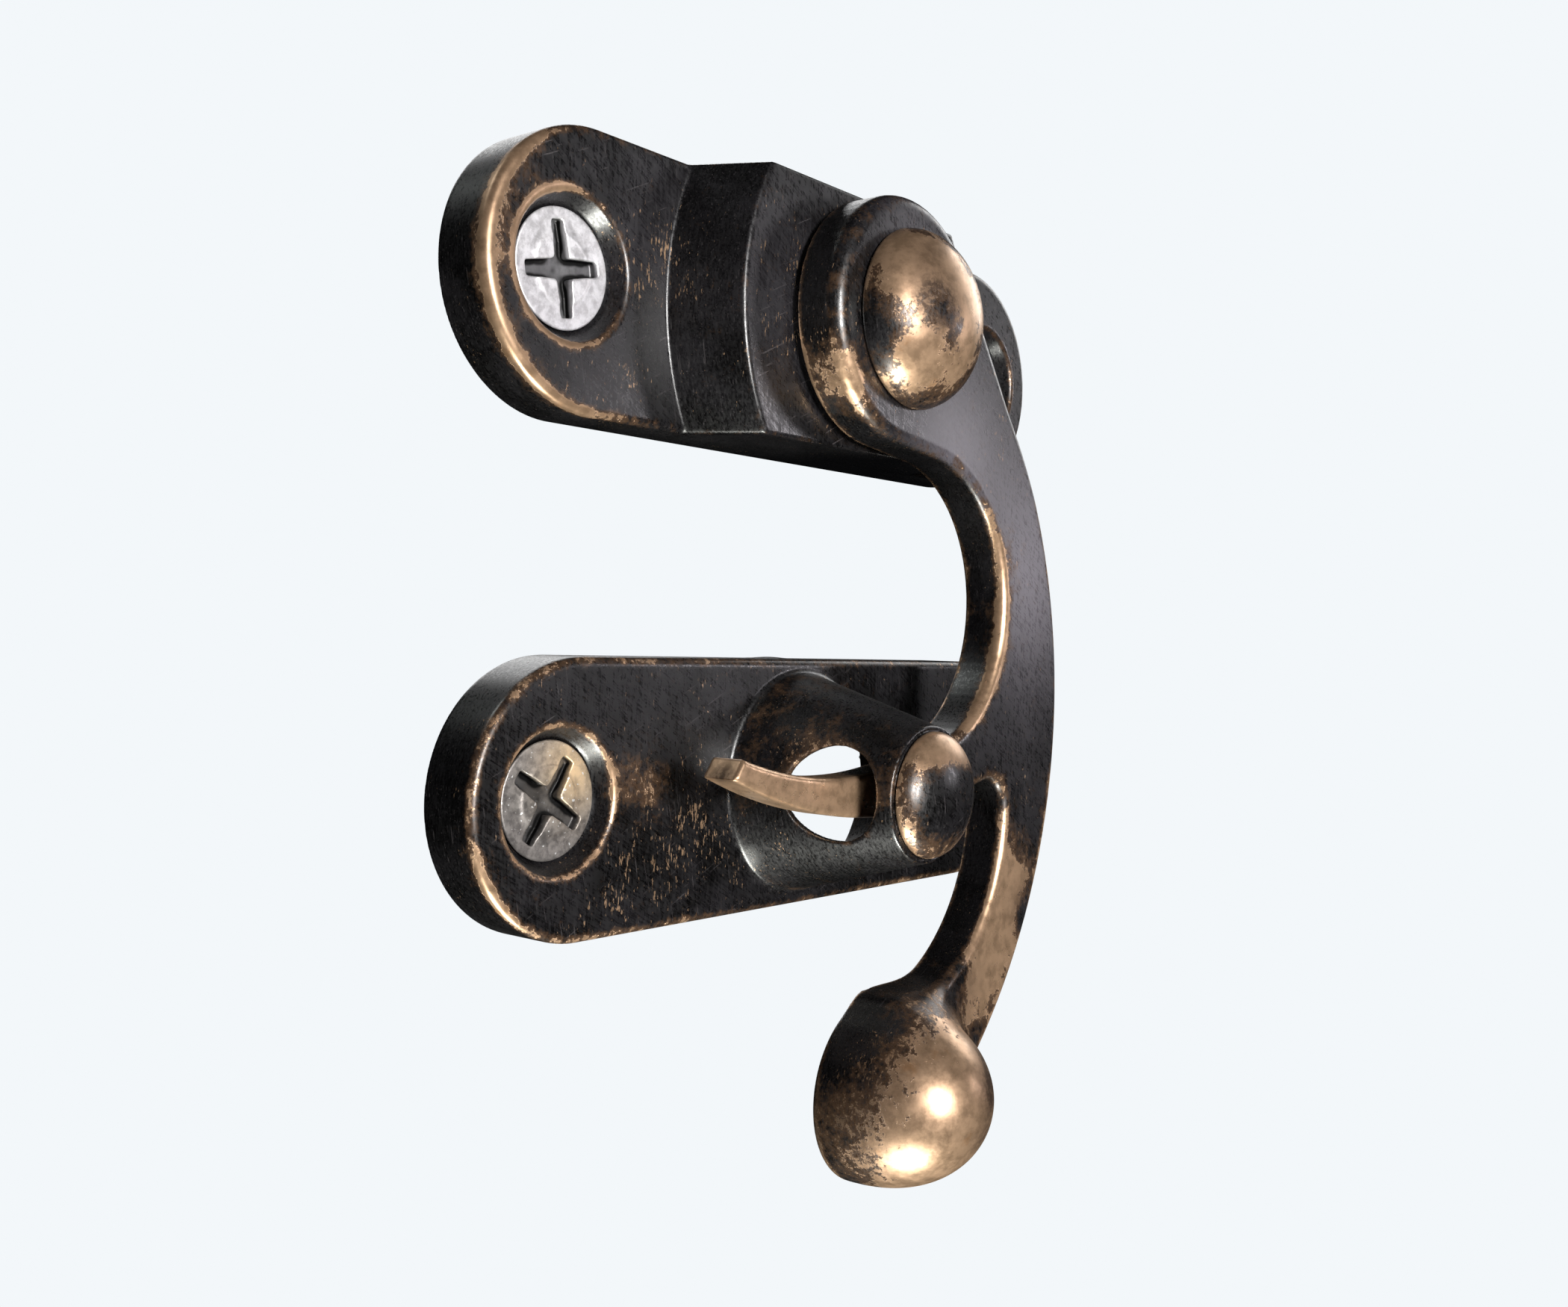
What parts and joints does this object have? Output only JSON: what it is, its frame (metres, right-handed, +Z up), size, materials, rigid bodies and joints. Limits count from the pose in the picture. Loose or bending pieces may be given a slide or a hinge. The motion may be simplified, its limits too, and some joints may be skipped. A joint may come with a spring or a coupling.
{
  "type": "swing-arm latch",
  "caption": "Small swing-arm box latch: a curved arm with a ball end turns on a domed rivet, and its prong enters a cross hole in a hollow conical post.",
  "frame": {"origin": "the pivot's axis, on the mounting plane at the back of both plates", "axes": "+X to the right along the plates, -Y out of the front of the latch, +Z up from the post towards the pivot"},
  "size_m": [0.028, 0.0123, 0.0321],
  "materials": {
    "antique_bronze": "satin near-black bronze patina with fine brushed scratches, worn to warm bronze along the edges",
    "worn_bronze": "satin bronze patina, blotchy, worn to bright warm metal on the high spots",
    "zinc": "bright zinc plate, slightly blotchy",
    "aged_zinc": "darkened zinc plate with a warm tint"
  },
  "bodies": {
    "plates": {"pivot_plate": "antique_bronze", "catch_plate": "antique_bronze", "post_cap": "worn_bronze", "pivot_rivet": "worn_bronze", "friction_washer": "zinc", "tail_washer": "zinc", "pivot_screw_left": "zinc", "pivot_screw_right": "zinc", "catch_screw_left": "aged_zinc", "catch_screw_right": "aged_zinc"},
    "arm": {"swing_arm": "worn_bronze"}
  },
  "joints": [
    {"name": "arm_swing", "type": "hinge", "parent": "plates", "child": "arm", "pos_m": [0, -0.005, 0], "axis": [0, -1, 0], "range_deg": [0, 300]}
  ]
}
